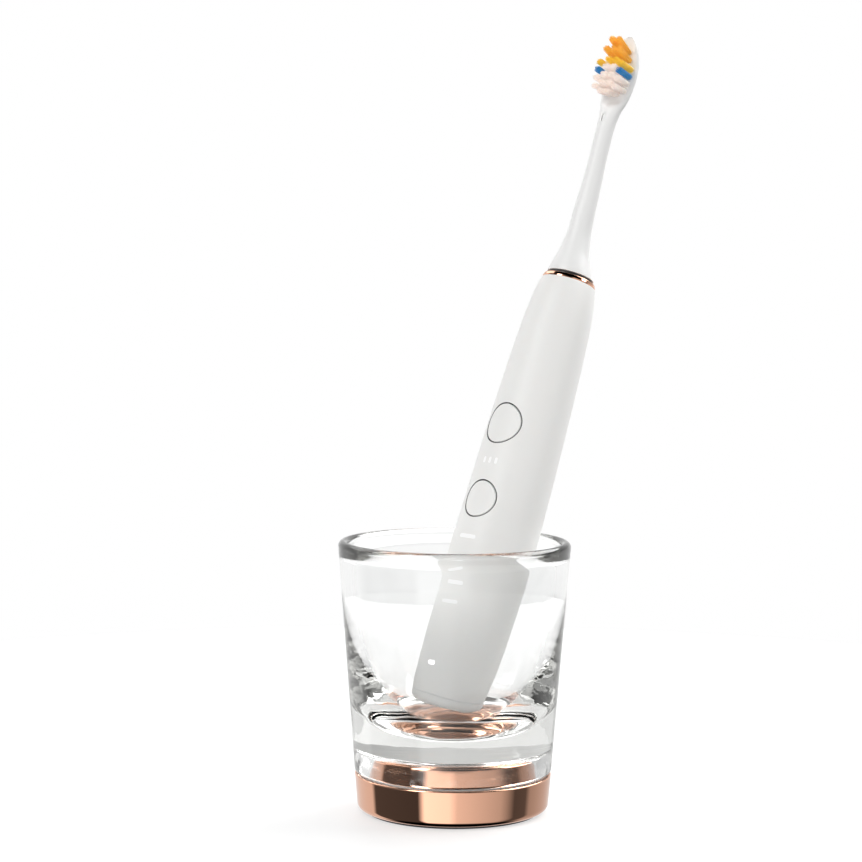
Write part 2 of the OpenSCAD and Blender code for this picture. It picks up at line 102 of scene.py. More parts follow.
world = bpy.data.worlds.new("room")
bpy.context.scene.world = world
world.use_nodes = True
nodes, join = world.node_tree.nodes, world.node_tree.links.new
nodes.clear()
direction = nodes.new("ShaderNodeSeparateXYZ")
join(nodes.new("ShaderNodeTexCoord").outputs["Generated"], direction.inputs[0])
flipped = nodes.new("ShaderNodeMath")
flipped.operation = "MULTIPLY"
flipped.inputs[1].default_value = -1
join(direction.outputs["Y"], flipped.inputs[0])
azimuth = nodes.new("ShaderNodeMath")
azimuth.operation = "ARCTAN2"
join(direction.outputs["X"], azimuth.inputs[0])
join(flipped.outputs[0], azimuth.inputs[1])
round_room = nodes.new("ShaderNodeMapRange")
round_room.inputs["From Min"].default_value = -math.pi
round_room.inputs["From Max"].default_value = math.pi
join(azimuth.outputs[0], round_room.inputs["Value"])
low, middle, high = (room_ramp(nodes, stops) for stops in (LOW_ROOM, MIDDLE_ROOM, HIGH_ROOM))
for ramp in (low, middle, high):
    join(round_room.outputs[0], ramp.inputs["Fac"])


def by_height(start, end):
    """0 below the first height of the sky, 1 above the second, smooth between."""
    rise = nodes.new("ShaderNodeMapRange")
    rise.interpolation_type = "SMOOTHSTEP"
    rise.inputs["From Min"].default_value = start
    rise.inputs["From Max"].default_value = end
    join(direction.outputs["Z"], rise.inputs["Value"])
    return rise.outputs[0]


def blended(share, below, above):
    """One colour below, another above; where none is given it is dark."""
    mix = nodes.new("ShaderNodeMix")
    mix.data_type = "RGBA"
    join(share, mix.inputs["Factor"])
    for side, colour in (("A", below), ("B", above)):
        mix.inputs[side].default_value = (0, 0, 0, 1)
        if colour:
            join(colour, mix.inputs[side])
    return mix.outputs["Result"]


mirrored = blended(by_height(*UNDERSIDE), None, low.outputs["Color"])
glow = blended(by_height(*HORIZON), mirrored, middle.outputs["Color"])
strips = blended(by_height(*STRIPS), glow, low.outputs["Color"])
walls = blended(by_height(*WALLS), strips, high.outputs["Color"])
sky = nodes.new("ShaderNodeBackground")
sky.inputs["Strength"].default_value = BRIGHTEST
join(blended(by_height(*CEILING), walls, None), sky.inputs["Color"])
paper = nodes.new("ShaderNodeBackground")
seen = nodes.new("ShaderNodeMixShader")
paper.inputs["Color"].default_value = (1, 1, 1, 1)
join(nodes.new("ShaderNodeLightPath").outputs["Is Camera Ray"], seen.inputs[0])
join(sky.outputs[0], seen.inputs[1])
join(paper.outputs[0], seen.inputs[2])
join(seen.outputs[0], nodes.new("ShaderNodeOutputWorld").inputs["Surface"])


BROADER = 14  # how much coarser than the grain a colour wanders


def finish(name, colour, roughness, grain, relief,
           metal=0.0, fleck=0.04, uneven=0.06, drawn=(1, 1, 1)):
    """A surface with its own grain: the grain's size and relief in millimetres, how far its colour
    and roughness wander, and how its marks are drawn out along X, Y and Z."""
    made = bpy.data.materials.new(name)
    made.use_nodes = True
    nodes, join = made.node_tree.nodes, made.node_tree.links.new
    shader = nodes["Principled BSDF"]
    shader.inputs["Metallic"].default_value = metal
    spread = nodes.new("ShaderNodeMapping")
    spread.inputs["Scale"].default_value = [1 / length for length in drawn]
    join(nodes.new("ShaderNodeTexCoord").outputs["Object"], spread.inputs["Vector"])
    fine, broad = nodes.new("ShaderNodeTexNoise"), nodes.new("ShaderNodeTexNoise")
    for noise, size in ((fine, grain), (broad, BROADER * grain)):
        noise.inputs["Scale"].default_value = 1 / (size * MM)
        noise.inputs["Detail"].default_value = 3
        join(spread.outputs[0], noise.inputs["Vector"])
    tint = nodes.new("ShaderNodeMix")
    tint.data_type = "RGBA"
    tint.inputs["A"].default_value = [c * (1 - fleck) for c in colour] + [1]
    tint.inputs["B"].default_value = [min(1, c * (1 + fleck / 2)) for c in colour] + [1]
    join(broad.outputs["Fac"], tint.inputs["Factor"])
    join(tint.outputs["Result"], shader.inputs["Base Color"])
    dull = nodes.new("ShaderNodeMapRange")
    dull.inputs["To Min"].default_value = max(0, roughness - uneven)
    dull.inputs["To Max"].default_value = roughness + uneven
    join(fine.outputs["Fac"], dull.inputs["Value"])
    join(dull.outputs[0], shader.inputs["Roughness"])
    bump = nodes.new("ShaderNodeBump")
    bump.inputs["Distance"].default_value = relief * MM
    join(fine.outputs["Fac"], bump.inputs["Height"])
    join(bump.outputs[0], shader.inputs["Normal"])
    return made, shader


def glow_a_little(shader, colour, strength):
    """Gives a finish some light of its own: a lit lamp's glow, the floor's even brightness, and
    painted glow that stands in for light scattered inside what lets light through.
    """
    shader.inputs["Emission Color"].default_value = (*colour, 1)
    shader.inputs["Emission Strength"].default_value = strength


floor_mesh = bmesh.new()
bmesh.ops.create_circle(floor_mesh, cap_ends=True, segments=128, radius=FLOOR_R)
floor = bpy.data.objects.new("floor", bpy.data.meshes.new("floor"))
floor_mesh.to_mesh(floor.data)
bpy.context.scene.collection.objects.link(floor)
pale_floor, shader = finish("pale_floor", (0.35, 0.35, 0.35), 0.6, 2.0, 0.01, fleck=0.01)
glow_a_little(shader, (1, 1, 1), 0.6)
floor.data.materials.append(pale_floor)
floor.visible_glossy = floor.visible_diffuse = False


# ------------------------------------------------- foot, cover and its screws
# A rubber ring to stand on, and a moulded cover that three screws hold up against the base.
# They are turned and drilled plainly, so the CAD's own shapes stay.
def dress(node, material):
    """Gives a CAD piece its finish."""
    node = frame["nodes"][node]
    node.data.materials.clear()
    node.data.materials.append(material)


dress("foot_pad", finish("foot_rubber", (0.05, 0.05, 0.052), 0.75, 0.25, 0.02)[0])
dress("base_cover", finish("cover_plastic", (0.62, 0.62, 0.6), 0.5, 0.3, 0.015)[0])
dress("cover_screws", finish("screw_steel", (0.5, 0.5, 0.52), 0.28, 0.08, 0.004, metal=1.0)[0])


# ------------------------------------------------------------------ base ring
# A deep-drawn steel ring, plated in rose gold and polished like a mirror. Its foot is rolled
# under, its top edge is just broken, and the lead's gland goes through its back.
def outline(corners, closed=True, steps=6, support=0.12):
    """A section's corners (across, up, rounding), with each rounded one drawn as an arc. A point
    just before and after each arc keeps the shading of the flats beside it true."""
    points = []
    for at, (across, up, rounding) in enumerate(corners):
        here = Vector((across, up))
        if not rounding or (not closed and at in (0, len(corners) - 1)):
            points.append((across, up))
            continue
        back = (Vector(corners[at - 1][:2]) - here).normalized()
        on = (Vector(corners[(at + 1) % len(corners)][:2]) - here).normalized()
        half = back.angle(on) / 2
        reach = rounding / math.tan(half)
        centre = here + (back + on).normalized() * rounding / math.sin(half)
        first, last = here + back * reach - centre, here + on * reach - centre
        sweep = first.angle_signed(last)
        points.append(tuple(here + back * (reach + support * rounding)))
        for step in range(steps + 1):
            spoke = first.copy()
            spoke.rotate(Matrix.Rotation(-sweep * step / steps, 2))
            points.append(tuple(centre + spoke))
        points.append(tuple(here + on * (reach + support * rounding)))
    return points


def skin(rings, closed):
    """A mesh through rings of points; a ring of one point is a pole."""
    shape = bmesh.new()
    rows = [[shape.verts.new(point) for point in ring] for ring in rings]
    sides = max(len(row) for row in rows)
    pairs = list(zip(rows, rows[1:])) + ([(rows[-1], rows[0])] if closed else [])
    for lower, upper in pairs:
        for k in range(sides):
            after = (k + 1) % sides
            corners = [lower[k % len(lower)], lower[after % len(lower)],
                       upper[after % len(upper)], upper[k % len(upper)]]
            corners = [v for at, v in enumerate(corners) if v not in corners[:at]]
            if len(corners) > 2:
                shape.faces.new(corners)
    bmesh.ops.recalc_face_normals(shape, faces=shape.faces)
    return shape


def circle(radius, height, sides):
    """A level ring of points about the axis; on the axis it is one point."""
    if radius < 1e-6:
        return [(0, 0, height)]
    turns = [2 * math.pi * k / sides for k in range(sides)]
    return [(radius * math.cos(a), radius * math.sin(a), height) for a in turns]


def turned(section, sides=256):
    """A solid turned from its section, whose points are (radius, height)."""
    rings = [circle(radius, height, sides) for radius, height in section]
    return skin(rings, closed=len(rings[0]) > 1)


def piece(name, shape, material, body, stands_for=(), place=Matrix.Identity(4), crease=35):
    """Puts a shape drawn in millimetres where it belongs, and gives it its finish and its body."""
    mesh = bpy.data.meshes.new(name)
    shape.to_mesh(mesh)
    shape.free()
    mesh.transform(place @ Matrix.Scale(MM, 4))
    mesh.shade_smooth()
    mesh.set_sharp_from_angle(angle=math.radians(crease))
    mesh.materials.append(material)
    made = bpy.data.objects.new(name, mesh)
    bpy.context.scene.collection.objects.link(made)
    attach(made, body)
    if stands_for:
        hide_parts(*stands_for)
    return made


def post(radius, length, place, sides=96):
    """A round cutter that stands on a place and reaches along its Z."""
    shape = turned([(0, 0), (radius, 0), (radius, length), (0, length)], sides)
    mesh = bpy.data.meshes.new("cutter")
    shape.to_mesh(mesh)
    shape.free()
    mesh.transform(place)
    return mesh


def cut(made, cutters):
    """Takes the cutters, drawn in the piece's millimetres, out of a shape."""
    block = bpy.data.objects.new("block", bpy.data.meshes.new("block"))
    made.to_mesh(block.data)
    bpy.context.scene.collection.objects.link(block)
    knives = []
    for mesh in cutters:
        knife = bpy.data.objects.new("knife", mesh)
        bpy.context.scene.collection.objects.link(knife)
        taking = block.modifiers.new("cut", "BOOLEAN")
        taking.operation, taking.object, taking.solver = "DIFFERENCE", knife, "EXACT"
        knives.append(knife)
    bpy.context.view_layer.update()
    left = block.evaluated_get(bpy.context.evaluated_depsgraph_get())
    left = bpy.data.meshes.new_from_object(left)
    shape = bmesh.new()
    shape.from_mesh(left)
    for spare in [block, *knives]:
        bpy.data.objects.remove(spare)
    return shape


def span(node, place=Matrix.Identity(4)):
    """A CAD node's lowest and highest corner, in millimetres, seen from a place."""
    seen_from = place.inverted()
    points = [seen_from @ v.co / MM for v in frame["nodes"][node].data.vertices]
    return [Vector([pick(p[axis] for p in points) for axis in range(3)]) for pick in (min, max)]


rose_plating = finish(
    "rose_plating", (0.79, 0.44, 0.30), 0.05, 1.5, 0.0006, metal=1.0, fleck=0.03, uneven=0.03)[0]
ring_low, ring_high = span("base_ring")
ring_r, ring_z, ring_top = ring_high.x, ring_low.z, ring_high.z
ring_wall = 1.6
cover_r = span("base_cover")[1].x
cover_gap = 0.1
lip_r = cover_r - 1.4
FOOT_ROUND, EDGE_ROUND, HEM_ROUND = 2.4, 0.45, 0.2
gland_low, gland_high = span("lead_gland")
gland_z = (gland_low.z + gland_high.z) / 2
gland_r, gland_reach = 2.6, 10
ring_shape = turned(outline([
    (cover_r + cover_gap, ring_z, 0.3),
    (ring_r - 1.1, ring_z, FOOT_ROUND),
    (ring_r, ring_top, EDGE_ROUND),
    (lip_r, ring_top, HEM_ROUND),
    (lip_r, ring_top - ring_wall, HEM_ROUND),
    (cover_r + cover_gap, ring_top - ring_wall, 0)], steps=10))
through_back = (Matrix.Translation((0, cover_r - 4, gland_z))
                @ Matrix.Rotation(math.radians(-90), 4, "X"))
ring_shape = cut(ring_shape, [post(gland_r, gland_reach, through_back)])
piece("plated_ring", ring_shape, rose_plating, "base", ["base_ring"])

black_rubber = finish("black_rubber", (0.02, 0.02, 0.021), 0.6, 0.3, 0.01)[0]
dress("lead_gland", black_rubber)

# ------------------------------------------------------------- puck and gasket
# The raised puck is a pressed cap of the same plated steel, which centres the glass over the
# coil. A clear silicone ring lies round it, so that glass never stands on metal.
puck_high = span("base_top")[1]
puck_r, puck_top, puck_wall = 28.3, puck_high.z, 1.6
puck_shoulder, shoulder_round = puck_r - 1.5, 1.7
skirt_z = ring_top - ring_wall - 0.2
puck_shape = turned(outline([
    (0, puck_top - puck_wall, 0),
    (puck_shoulder - puck_wall, puck_top - puck_wall, 0),
    (puck_r - puck_wall, ring_top, 0),
    (puck_r - puck_wall, skirt_z - puck_wall, 0),
    (cover_r, skirt_z - puck_wall, 0),
    (cover_r, skirt_z, 0),
    (puck_r, skirt_z, 0),
    (puck_r, ring_top, 0),
    (puck_shoulder, puck_top, shoulder_round),
    (0, puck_top, 0)], closed=False, steps=12))
piece("plated_puck", puck_shape, rose_plating, "base", ["base_top"])

gasket_low, gasket_high = span("seat_gasket")
gasket_r, gasket_round = 29.8, 0.15
gasket_shape = turned(outline([
    (gasket_r, gasket_low.z, 0), (gasket_high.x, gasket_low.z, 0),
    (gasket_high.x, gasket_high.z, gasket_round), (gasket_r, gasket_high.z, gasket_round)]))
clear_silicone, shader = finish("clear_silicone", (0.78, 0.79, 0.79), 0.35, 0.4, 0.004)
shader.inputs["Transmission Weight"].default_value = 0.3
piece("glass_gasket", gasket_shape, clear_silicone, "base", ["seat_gasket"])

# ------------------------------------------------------- charger in the base
# Copper wire wound on a nylon former round a ferrite core, on a round laminate board with its
# parts soldered to it. The handle's own receiver coil and motor coil are wound the same way.
winding = finish(
    "copper_winding", (0.72, 0.33, 0.14), 0.3, 0.3, 0.05,
    metal=1.0, fleck=0.2, drawn=(9, 9, 1))[0]
ferrite = finish("ferrite", (0.06, 0.06, 0.065), 0.55, 0.2, 0.02, fleck=0.2)[0]
nylon = finish("natural_nylon", (0.78, 0.74, 0.62), 0.45, 0.5, 0.01)[0]
laminate = finish("board_laminate", (0.03, 0.22, 0.09), 0.35, 0.4, 0.02, fleck=0.25)[0]
epoxy = finish("chip_epoxy", (0.03, 0.03, 0.035), 0.5, 0.15, 0.01)[0]
for node in ("charge_coil", "motor_coil", "receiver_coil"):
    dress(node, winding)
for node in ("coil_core", "receiver_core"):
    dress(node, ferrite)
dress("coil_former", nylon)
for node in ("charger_board", "circuit_board"):
    dress(node, laminate)
for node in ("board_parts", "switches"):
    dress(node, epoxy)

# ------------------------------------------------------------------ the glass
# One thick-walled tumbler, pressed and fire-polished: a heavy foot with a recess that drops
# over the puck, a round bowl and a rolled rim. Low down the pressing leaves its wall wavy.
WAVES_FULL, WAVES_END, WAVE_LENGTH, WAVE_RISE = 40, 62, 9, 0.14
THROUGH_GLASS, GLASS_DEPTH = (0.9, 0.9, 0.894, 1), 55
clear_glass, shader = finish(
    "clear_glass", (0.992, 0.996, 0.995), 0.0, 9.0, 0.02, fleck=0.004, uneven=0.002)
shader.inputs["Transmission Weight"].default_value = 1.0
shader.inputs["IOR"].default_value = 1.5
nodes, join = clear_glass.node_tree.nodes, clear_glass.node_tree.links.new
height, low_down = nodes.new("ShaderNodeSeparateXYZ"), nodes.new("ShaderNodeMapRange")
place = nodes.new("ShaderNodeTexCoord").outputs["Object"]
join(place, height.inputs[0])
join(height.outputs["Z"], low_down.inputs["Value"])
low_down.inputs["From Min"].default_value = WAVES_END * MM
low_down.inputs["From Max"].default_value = WAVES_FULL * MM
waves, swell = nodes.new("ShaderNodeTexNoise"), nodes.new("ShaderNodeBump")
waves.inputs["Scale"].default_value = 1 / (WAVE_LENGTH * MM)
waves.inputs["Detail"].default_value = 1
join(place, waves.inputs["Vector"])
swell.inputs["Distance"].default_value = WAVE_RISE * MM
join(low_down.outputs[0], swell.inputs["Strength"])
join(waves.outputs["Fac"], swell.inputs["Height"])
join(shader.inputs["Normal"].links[0].from_socket, swell.inputs["Normal"])
join(swell.outputs[0], shader.inputs["Normal"])
depth = nodes.new("ShaderNodeVolumeAbsorption")
depth.inputs["Color"].default_value = THROUGH_GLASS
depth.inputs["Density"].default_value = GLASS_DEPTH
join(depth.outputs[0], nodes["Material Output"].inputs["Volume"])
glass_low, glass_high = span("tumbler")
rim_r, rim_z, glass_z = glass_high.x, glass_high.z, glass_low.z
rim_wall = 3.8
foot_r = 33.9
recess_r, recess_top_r, recess_top = 29.2, 27.6, puck_top + 0.9
bowl_r, bowl_edge, bowl_floor = 34.8, 87.0, 27.5
BOWL_SIDE, BOWL_DROP = 3.6, 1.8
rim_roll = rim_wall / 2
rim_centre = (rim_r - rim_roll, rim_z - rim_roll)
flare = rim_r - rim_wall - bowl_r
foot = outline([
    (0, recess_top, 0), (recess_top_r, recess_top, 1.6), (recess_r, glass_z, 0.25),
    (foot_r, glass_z, 1.2), (rim_r, rim_centre[1], 0)], closed=False, steps=12)
outside = [(foot_r + (rim_r - foot_r) * t / 8, glass_z + (rim_centre[1] - glass_z) * t / 8)
           for t in range(1, 8)]
rolled = [(rim_centre[0] + rim_roll * math.cos(a), rim_centre[1] + rim_roll * math.sin(a))
          for a in (math.pi * step / 24 for step in range(1, 25))]
flared = [(bowl_r + flare * (1 - math.cos(math.pi / 2 * t / 8)),
           bowl_edge + (rim_centre[1] - bowl_edge) * t / 8) for t in range(7, 0, -1)]
bowl = [(bowl_r * math.cos(a) ** (2 / BOWL_SIDE),
         bowl_edge - (bowl_edge - bowl_floor) * math.sin(a) ** (2 / BOWL_DROP))
        for a in (math.pi / 2 * (1 - (1 - step / 96) ** 1.5) for step in range(96))]
bowl.append((0, bowl_floor))
glass_shape = turned(foot[:-1] + outside + [foot[-1]] + rolled + flared + bowl, sides=288)
piece("glass", glass_shape, clear_glass, "glass", ["tumbler"], crease=50)


# ------------------------------------------------------------- handle's shell
# A one-piece sleeve moulded in satin white plastic, fullest at its middle and narrowing to
# the collar. It has round holes for the two keys and slots for the small lights.
def faired(table, height, column=1):
    """The smooth curve through one column of a table of sections, at a height."""
    at = max(i for i in range(len(table) - 1) if i == 0 or table[i][0] < height)

    def slope(row):
        before, after = table[max(row - 1, 0)], table[min(row + 1, len(table) - 1)]
        return (after[column] - before[column]) / (after[0] - before[0])

    gap = table[at + 1][0] - table[at][0]
    u = (height - table[at][0]) / gap
    return ((2 * u**3 - 3 * u**2 + 1) * table[at][column]
            + (u**3 - 2 * u**2 + u) * gap * slope(at)
            + (3 * u**2 - 2 * u**3) * table[at + 1][column]
            + (u**3 - u**2) * gap * slope(at + 1))


joints = {joint["name"]: joint for joint in frame["joints"]}
along = Vector(joints["brush_lift"]["axis"]).normalized()
inward = Vector(joints["power_press"]["axis"]).normalized()
across = inward.cross(along)
SWING_HEIGHT = 130.0
seat = Vector(joints["shaft_swing"]["pos_m"]) - SWING_HEIGHT * MM * along
in_brush = (Matrix.Translation(seat)
            @ Matrix((across, inward, along)).transposed().to_4x4())
facing = Matrix.Rotation(math.radians(90), 4, "X")

HANDLE = [
    (3.2, 13.4), (12, 13.8), (28, 14.4), (48, 14.75), (60, 14.8), (72, 14.55), (85, 14.3),
    (100, 13.95), (120, 13.3), (140, 12.4), (150, 11.6), (156, 10.75), (160.4, 9.85)]
SHELL_FOOT, SHELL_TOP, SHELL_WALL = 4.5, 160.4, 1.7
POWER, MODE = (103.8, 7.6), (76.0, 6.9)
SEAM = 0.14


def handle_r(height):
    return faired(HANDLE, height)


white_shell, shader = finish(
    "white_shell", (0.875, 0.87, 0.852), 0.48, 0.5, 0.0015, fleck=0.012, uneven=0.03)
shader.inputs["Subsurface Weight"].default_value = 0.08
shader.inputs["Subsurface Radius"].default_value = (0.002, 0.0016, 0.0014)

rows = 220
heights = [SHELL_FOOT + (SHELL_TOP - SHELL_FOOT) * row / rows for row in range(rows + 1)]
shell_section = (
    [(handle_r(SHELL_FOOT) - SHELL_WALL, SHELL_FOOT), (handle_r(SHELL_FOOT) - SEAM, SHELL_FOOT)]
    + [(handle_r(SHELL_FOOT), SHELL_FOOT + SEAM)]
    + [(handle_r(height), height) for height in heights[1:-1]]
    + [(handle_r(SHELL_TOP) - 0.05, SHELL_TOP), (handle_r(SHELL_TOP) - SHELL_WALL, SHELL_TOP)]
    + [(handle_r(height) - SHELL_WALL, height) for height in heights[-2:0:-8]])


def bar(width, height, place, depth):
    """A round-ended slot's cutter, facing the front of the handle."""
    end, reach = min(width, height) / 2, abs(width - height) / 2
    wide = width > height
    rim = []
    for turn, shift in ((0, reach), (180, -reach)):
        for step in range(9):
            a = math.radians(turn + 22.5 * step - 90 * wide)
            rim.append((end * math.cos(a) + (shift if wide else 0),
                        end * math.sin(a) + (0 if wide else shift)))
    near, far = depth
    rings = [[(place[0], near, place[1])],
             [(place[0] + x, near, place[1] + z) for x, z in rim],
             [(place[0] + x, far, place[1] + z) for x, z in rim],
             [(place[0], far, place[1])]]
    shape = skin(rings, closed=False)
    mesh = bpy.data.meshes.new("cutter")
    shape.to_mesh(mesh)
    shape.free()
    return mesh


# The lights' windows, as width, height and place: four modes, three strengths and the battery.
LIGHTS = (
    [(7, 1.3, (0, height)) for height in (39.3, 46.5, 54.6, 62.2)]
    + [(0.9, 2.2, (x, 90)) for x in (-2.6, 0, 2.6)]
    + [(3, 1.5, (0, 15.7))])
CUT_FROM, CUT_TO = -20, -9
holes = [post(radius, -CUT_FROM, Matrix.Translation((0, 0, height)) @ facing)
         for height, radius in (POWER, MODE)]
holes += [bar(width, height, place, (CUT_FROM, CUT_TO)) for width, height, place in LIGHTS]
shell_shape = cut(turned(shell_section, sides=256), holes)
piece("white_sleeve", shell_shape, white_shell, "handle", ["handle_shell"],
      place=in_brush, crease=30)

# --------------------------------------------------------- handle's end cap
# A cap pushed into the sleeve's lower end over a clear sealing ring, with a shallow dish in
# its middle so that the brush stands steady on a shelf.
CAP_TOP, CAP_ROUND, DISH, DISH_R = 4.2, 3.2, 0.3, 6
SPIGOT_TOP, SPIGOT_R, CAP_FLOOR = 9.8, 10.4, 2.4
cap_r = handle_r(CAP_TOP)
cap_shape = turned(outline([
    (0, DISH, 0), (DISH_R, DISH, 0.2), (DISH_R + 0.4, 0, 0.2),
    (handle_r(CAP_ROUND), 0, CAP_ROUND), (cap_r, CAP_TOP, SEAM),
    (cap_r - SHELL_WALL, CAP_TOP, 0), (cap_r - SHELL_WALL - 0.1, SPIGOT_TOP, 0.2),
    (SPIGOT_R, SPIGOT_TOP, 0.2), (SPIGOT_R, CAP_FLOOR, 0), (0, CAP_FLOOR, 0)],
    closed=False, steps=12))
piece("white_end_cap", cap_shape, white_shell, "handle", ["end_cap"],
      place=in_brush)
# The key seals are made near black, darker than their own grey, to paint in the shade of the thin
# seam round each key.
grey_seal = finish("grey_seal", (0.06, 0.06, 0.062), 0.6, 0.2, 0.008)[0]
dress("end_cap_seal", clear_silicone)
dress("button_seals", grey_seal)

# ----------------------------------------------------------- collar and nose
# A turned ring with the same rose plating caps the sleeve. The moulded black nose, which holds
# the drive shaft's rubber seal in a groove in its bore, is pushed up through it from inside.
collar_low, collar_high = span("top_collar", in_brush)
collar_r, collar_z, collar_top = collar_high.x, collar_low.z, collar_high.z
COLLAR_BORE = 8.05
collar_shape = turned(outline([
    (COLLAR_BORE, collar_z, 0), (collar_r, collar_z, 0.12), (collar_r, collar_z + 0.5, 0.3),
    (collar_r - 0.37, collar_top, 0.25), (COLLAR_BORE, collar_top, 0)], steps=8))
piece("plated_collar", collar_shape, rose_plating, "handle", ["top_collar"],
      place=in_brush)

black_plastic = finish("black_plastic", (0.018, 0.018, 0.02), 0.4, 0.25, 0.006)[0]
nose_low, nose_high = span("nose", in_brush)
NOSE_BORE, NOSE_R, NOSE_TOP_R = 4.5, 9.3, 8.3
SHOULDER_LOW, SHOULDER_HIGH, NECK_R = 151.5, 155.5, 8.7
SEAL_R, SEAL_LOW, SEAL_HIGH = 3, 149.5, 157
nose_shape = turned(outline([
    (NOSE_BORE, nose_low.z, 0), (NOSE_R, nose_low.z, 0.3), (NOSE_R, SHOULDER_LOW, 0.5),
    (NECK_R, SHOULDER_HIGH, 0.5), (COLLAR_BORE, SHELL_TOP, 0), (COLLAR_BORE, collar_top, 0),
    (NOSE_TOP_R, collar_top, 0), (NOSE_TOP_R, nose_high.z, 0.15), (NOSE_BORE, nose_high.z, 0.1),
    (NOSE_BORE, SEAL_HIGH, 0), (SEAL_R, SEAL_HIGH, 0), (SEAL_R, SEAL_LOW, 0),
    (NOSE_BORE, SEAL_LOW, 0)]), sides=160)
piece("black_nose", nose_shape, black_plastic, "handle", ["nose"], place=in_brush)
dress("shaft_seal", black_rubber)


# -------------------------------------------------------------- the two keys
# Each key is a cap in the sleeve's own white, level with it, thumbed slightly hollow, with a
# soft edge that leaves a thin seam inside its sealing ring, which is coloured near black to paint
# in the seam's shade.
def key(radius, height, dish=0.3, edge=0.28, back=-8.4, flange=(0.8, 0.6)):
    """A key's cap: a hollowed face on the handle's curve, a rolled edge, a wall and a flange."""
    def face(across_by, up_by):
        return -math.sqrt(handle_r(height + up_by) ** 2 - across_by**2)

    flat = radius - edge
    wider, thick = flange
    spokes = [2 * math.pi * k / 120 for k in range(120)]
    rings = [[(0, face(0, 0) + dish, height)]]
    hollow = [(flat * t / 14, dish * (1 - (t / 14) ** 2) ** 2) for t in range(1, 15)]
    rolled = [(flat + edge * math.sin(a), edge * (1 - math.cos(a)))
              for a in (math.pi / 2 * step / 7 for step in range(1, 8))]
    for reach, sunk in hollow + rolled:
        rings.append([
            (reach * math.cos(a), face(reach * math.cos(a), reach * math.sin(a)) + sunk,
             height + reach * math.sin(a)) for a in spokes])
    for reach, depth in (
            (radius, back), (radius + wider, back), (radius + wider, back - thick)):
        rings.append([(reach * math.cos(a), depth, height + reach * math.sin(a)) for a in spokes])
    rings.append([(0, back - thick, height)])
    return skin(rings, closed=False)


KEY_GAP = 0.45
for name, (height, radius) in (("power", POWER), ("mode", MODE)):
    piece(name + "_cap", key(radius - KEY_GAP, height), white_shell, name + "_key",
          [name + "_button"], place=in_brush)


# ----------------------------------------------------------------- brush head
# The head is moulded in one piece: a socket that pushes onto the shaft, a slim neck bent
# slightly forward with a short slot in its front, and the flat oval plate that the bristles
# stand in. Each of its sections has a height, two half-widths and how far forward it stands.
HEAD = [
    (163.2, 8.5, 8.5, 0), (165, 7.8, 7.9, 0.6), (168, 6.7, 6.9, 1.1), (171, 5.6, 5.9, 1.5),
    (174.5, 4.9, 5.1, 1.7), (178, 4.3, 4.6, 1.9), (182, 4, 4.3, 2.25), (186, 3.9, 4.1, 2.6),
    (192, 3.7, 3.8, 2.8), (200, 3.35, 3.4, 3), (207, 3.2, 3.2, 3.6), (214, 3.2, 3.2, 4.1),
    (220, 3.3, 3.1, 4.3), (225, 4.1, 2.8, 4.1), (229, 5.5, 2.4, 3.7), (234, 6.3, 2.1, 3.4),
    (240, 6.4, 2.1, 3.4), (246, 5.4, 2, 3.6), (250, 3.9, 1.8, 4.1), (252.4, 2.4, 1.4, 4.6),
    (253.6, 0.9, 0.8, 4.9)]
HEAD_TURN = 7
on_shaft = in_brush @ Matrix.Rotation(math.radians(HEAD_TURN), 4, "Z")
HEAD_FOOT, HEAD_TOP = HEAD[0][0], HEAD[-1][0]
PLATE_FROM, PLATE_FACE = 228.0, 5.2
SOCKET_R, SOCKET_DEEP, BORE_R, BORE_TOP = 6.2, 1.4, 1.8, 178.5
FLAT_EDGE = 0.12  # how softly the plate's flat runs out into its round


def head_ring(height, share=1.0, sides=72):
    """One oval section of the head, flat in front where the bristles stand."""
    wide, deep, forward = (faired(HEAD, height, column) for column in (1, 2, 3))
    ring = []
    for k in range(sides):
        a = 2 * math.pi * k / sides
        y = share * deep * math.sin(a) - forward
        if height > PLATE_FROM - 3:
            level = PLATE_FACE + max(0, PLATE_FROM - height) * 0.8
            if y < 3 - level:
                y = math.log1p(math.exp((y + level) / FLAT_EDGE)) * FLAT_EDGE - level
        ring.append((share * wide * math.cos(a), y, height))
    return ring


steps, head_length = 150, HEAD_TOP - HEAD_FOOT
climb = [HEAD_FOOT + head_length * math.sin(math.pi / 2 * step / steps)
         for step in range(steps + 1)]
socket_top = HEAD_FOOT + SOCKET_DEEP
head_rings = [circle(radius, height, 72) for radius, height in (
    (0, BORE_TOP), (BORE_R, BORE_TOP), (BORE_R, socket_top), (SOCKET_R, socket_top),
    (SOCKET_R, HEAD_FOOT + 0.1), (SOCKET_R + 0.1, HEAD_FOOT))]
head_rings += [head_ring(HEAD_FOOT, 0.985)]
head_rings += [head_ring(height) for height in [HEAD_FOOT + 0.12] + climb[1:]]
tip = -HEAD[-1][3]
head_rings += [[(x * share, tip + (y - tip) * share, HEAD_TOP)
                for x, y, z in head_ring(HEAD_TOP)] for share in (0.7, 0.35)]
head_rings += [[(0, tip, HEAD_TOP)]]
white_head = finish(
    "white_head", (0.87, 0.87, 0.86), 0.4, 0.4, 0.0015, fleck=0.012, uneven=0.03)[0]
SLOT_WIDE, SLOT_HIGH, SLOT_AT, SLOT_DEPTH = 1.6, 3.4, 221.6, (-9, -6.6)
neck_slot = bar(SLOT_WIDE, SLOT_HIGH, (0, SLOT_AT), SLOT_DEPTH)
head_shape = cut(skin(head_rings, closed=False), [neck_slot])
piece("white_head", head_shape, white_head, "head", ["brush_head"], place=on_shaft,
      crease=40)

